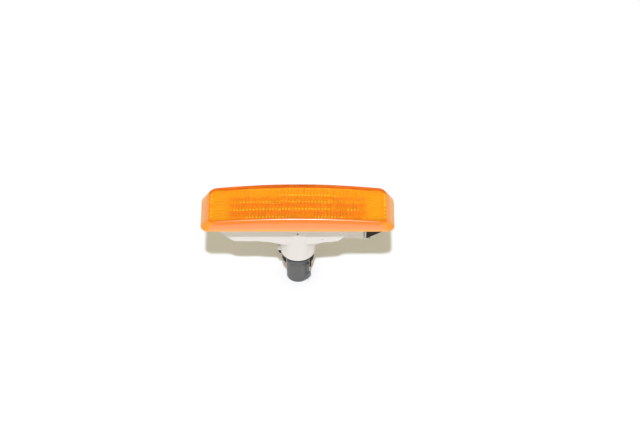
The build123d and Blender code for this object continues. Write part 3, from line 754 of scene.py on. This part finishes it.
# Contacts: the two strips in the holder, each a pin in the connector's socket and a leaf at the bulb.
# They are stamped brass, drawn along their length and slightly tarnished.
contact_brass, wire = new_finish("contact_brass")
place = wire.add("TexCoord", output="Object")
stretched = wire.add("Mapping", inputs={"Vector": place, "Scale": (1.0, 1.0, 0.05)})
drawn = noise(stretched, size=0.15 * MM)
tarnish = noise(place, size=2 * MM, detail=3.0)
end_finish(
    wire,
    {
        "Base Color": mixed_colour(tarnish, (0.78, 0.60, 0.30, 1), (0.62, 0.45, 0.20, 1)),
        "Roughness": 0.24 + 0.2 * drawn,
        "Metallic": 1.0,
        "Normal": bumped(drawn, depth=0.004 * MM),
    },
)
for node, name in (("contact_left", "contact_left_strip"), ("contact_right", "contact_right_strip")):
    strip = eased_copy(node, name, width=0.08 * MM)
    dress(strip, "holder", node, contact_brass)

# Bulb glass: the clear envelope of the wedge-base bulb, pressed flat at its base and pushed into the holder.
# It is blown glass, faintly rippled, and lets lamps through to what is inside.
bulb_clear, wire = new_finish("bulb_clear_glass")
place = wire.add("TexCoord", output="Object")
ripple = noise(place, size=3 * MM, detail=1.0)
end_finish(
    wire,
    {
        "Base Color": (0.97, 0.985, 0.985, 1),
        "Roughness": 0.01 + 0.03 * ripple,
        "Transmission Weight": 1.0,
        "IOR": 1.47,
    },
    shadow_tint=(0.95, 0.97, 0.97, 1),
)
bulb = eased_copy("bulb_glass", "bulb_glass_envelope", width=0.1 * MM)
dress(bulb, "holder", "bulb_glass", bulb_clear)

# Leads: the two wires that come through the glass and fold up its base, where the contacts press on them.
# They are bare drawn steel, and the solids are shown as they are.


def wire_metal(name, light_tone, dark_tone):
    """Bare drawn metal between two tones, a little rough in patches."""
    metal, wire = new_finish(name)
    place = wire.add("TexCoord", output="Object")
    drawn = noise(place, size=0.2 * MM, detail=3.0)
    end_finish(
        wire,
        {
            "Base Color": mixed_colour(drawn, light_tone, dark_tone),
            "Roughness": 0.25 + 0.2 * drawn,
            "Metallic": 1.0,
        },
    )
    return metal


lead_steel = wire_metal("lead_wire", (0.62, 0.61, 0.58, 1), (0.48, 0.47, 0.45, 1))
for node in ("bulb_lead_left", "bulb_lead_right"):
    nodes[node].data.materials.clear()
    nodes[node].data.materials.append(lead_steel)

# Filament: the fine coil between the two leads, hung in a low arch.
# It is dark tungsten wire, a tube carried along a helix whose ends run straight into the leads.
COIL_TURNS = 18
COIL_STEPS = 20
COIL_RADIUS = 0.25
COIL_WIRE = 0.05
COIL_SIDES = 6
COIL_HALF_SPAN = 1.6
COIL_RISE = 0.4
COIL_TAIL = 0.06
COIL_CREASE = 0.9


def coil_tube(top):
    """A tube along y: its centre is a parabola that rises to a top, the helix turns round it at the coil's
    radius, less towards the ends, and each ring is a circle across the helix."""
    t = np.linspace(0, 1, COIL_TURNS * COIL_STEPS + 1)
    turn = 2 * np.pi * COIL_TURNS * t
    reach = COIL_RADIUS * rise(np.minimum(t, 1 - t), 0, COIL_TAIL)
    y = COIL_HALF_SPAN * (2 * t - 1)
    outward = np.stack([np.cos(turn), np.zeros_like(t), np.sin(turn)], axis=1)
    centre = np.stack([np.zeros_like(t), y, top - COIL_RISE * (y / COIL_HALF_SPAN) ** 2], axis=1)
    helix = centre + reach[:, None] * outward
    ahead = np.gradient(helix, axis=0)
    ahead /= np.linalg.norm(ahead, axis=1, keepdims=True)
    first = outward - ahead * np.sum(outward * ahead, axis=1, keepdims=True)
    first /= np.linalg.norm(first, axis=1, keepdims=True)
    second = np.cross(ahead, first)
    angle = np.linspace(0, 2 * np.pi, COIL_SIDES, endpoint=False)[None, :, None]
    rings = helix[:, None] + COIL_WIRE * (np.cos(angle) * first[:, None] + np.sin(angle) * second[:, None])
    index = np.arange(len(t) * COIL_SIDES).reshape(len(t), COIL_SIDES)
    aside = np.roll(index, -1, axis=1)
    walls = np.stack([index[:-1], aside[:-1], aside[1:], index[1:]], axis=-1).reshape(-1, 4)
    return rings.reshape(-1, 3), walls.tolist() + [index[0, ::-1].tolist(), index[-1].tolist()]


coil_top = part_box("bulb_filament")[1].z / MM - COIL_RADIUS - COIL_WIRE
coil_points, coil_faces = coil_tube(coil_top)
filament = mesh_piece("bulb_filament_coil", coil_points, coil_faces, COIL_CREASE)
tungsten = wire_metal("filament_tungsten", (0.30, 0.30, 0.31, 1), (0.20, 0.20, 0.21, 1))
dress(filament, "holder", "bulb_filament", tungsten)

# Table: the plain white sheet that the lamp stands on, on the end of its bulb holder.
# It is flat and matt, and shows only the lamp's shadow.
FLOOR_HALF = 4.0
floor_level = cad_box[0].z
floor_points = np.array([[-1, -1, 0], [1, -1, 0], [1, 1, 0], [-1, 1, 0]]) * FLOOR_HALF
floor_mesh = bpy.data.meshes.new("table")
floor_mesh.from_pydata(floor_points + np.array([0, 0, floor_level]), [], [[0, 1, 2, 3]])
floor = bpy.data.objects.new("table", floor_mesh)
bpy.context.scene.collection.objects.link(floor)
table_white, wire = new_finish("table_white")
table_surface = wire.add("BsdfDiffuse", inputs={"Color": (0.96, 0.96, 0.955, 1)})
wire.add("OutputMaterial", inputs={"Surface": table_surface})
floor.data.materials.append(table_white)

# Light: one high lamp from the camera's side, a faint strip in line with it, and an even pale surround.
# The surround shows white behind the lamp and dims overhead, so that the lens reflects little from above.
KEY_ELEVATION = np.radians(57.5)
KEY_SPREAD = np.radians(2.5)
KEY_POWER = 2.55
STRIP_SIZE = (0.26, 0.05)
STRIP_DISTANCE = 1.2
STRIP_POWER = 1.0
AMBIENT = 0.53
key_data = bpy.data.lights.new("key", "SUN")
key_data.energy = KEY_POWER
key_data.angle = KEY_SPREAD
key_data.color = (0.77, 0.83, 1.0)
strip_data = bpy.data.lights.new("strip", "AREA")
strip_data.shape = "RECTANGLE"
strip_data.size, strip_data.size_y = STRIP_SIZE
strip_data.energy = STRIP_POWER
strip_data.color = (1.0, 0.86, 0.62)
for name, data in (("key", key_data), ("strip", strip_data)):
    lamp = bpy.data.objects.new(name, data)
    lamp.rotation_euler = (np.pi / 2 - KEY_ELEVATION, 0, 0)
    lamp.location = STRIP_DISTANCE * np.array([0, -np.cos(KEY_ELEVATION), np.sin(KEY_ELEVATION)])
    bpy.context.scene.collection.objects.link(lamp)
world = bpy.data.worlds.new("surround")
bpy.context.scene.world = world
world.use_nodes = True
world.node_tree.nodes.clear()
wire = Wire(world.node_tree)
direction = wire.add("TexCoord", output="Generated")
upward = wire.add("SeparateXYZ", inputs={"Vector": direction}, output="Z")
overhead = ranged(upward, low=0.08, high=0.4, first=1.0, last=0.12)
camera_ray = wire.add("LightPath", output="Is Camera Ray")
glossy_ray = wire.add("LightPath", output="Is Glossy Ray")
through_ray = wire.add("LightPath", output="Is Transmission Ray")
seen = wire.math("MINIMUM", camera_ray + glossy_ray + through_ray, 1.0)
surround_colour = mixed_colour(seen, (1.0, 0.92, 0.67, 1), (1, 1, 1, 1))
surround_strength = AMBIENT * (1 - seen) + overhead * seen
surround = wire.add("Background", inputs={"Color": surround_colour, "Strength": surround_strength})
wire.add("OutputWorld", inputs={"Surface": surround})

# Camera: in front of the straight edge, looking down at about 45 degrees.
# Its long lens keeps the two ends of the lamp almost the same size.
VIEW_DISTANCE = 1.5
VIEW_ELEVATION = np.radians(45)
VIEW_TARGET = np.array([12.75, -2.8, -2.8]) * MM
camera_data = bpy.data.cameras.new("camera")
camera_data.lens = 148
camera_data.sensor_width = 36
camera = bpy.data.objects.new("camera", camera_data)
camera.location = VIEW_TARGET + VIEW_DISTANCE * np.array([0, -np.cos(VIEW_ELEVATION), np.sin(VIEW_ELEVATION)])
camera.rotation_euler = (np.pi / 2 - VIEW_ELEVATION, 0, 0)
bpy.context.scene.collection.objects.link(camera)
bpy.context.scene.camera = camera
bpy.context.scene.view_settings.view_transform = "Standard"
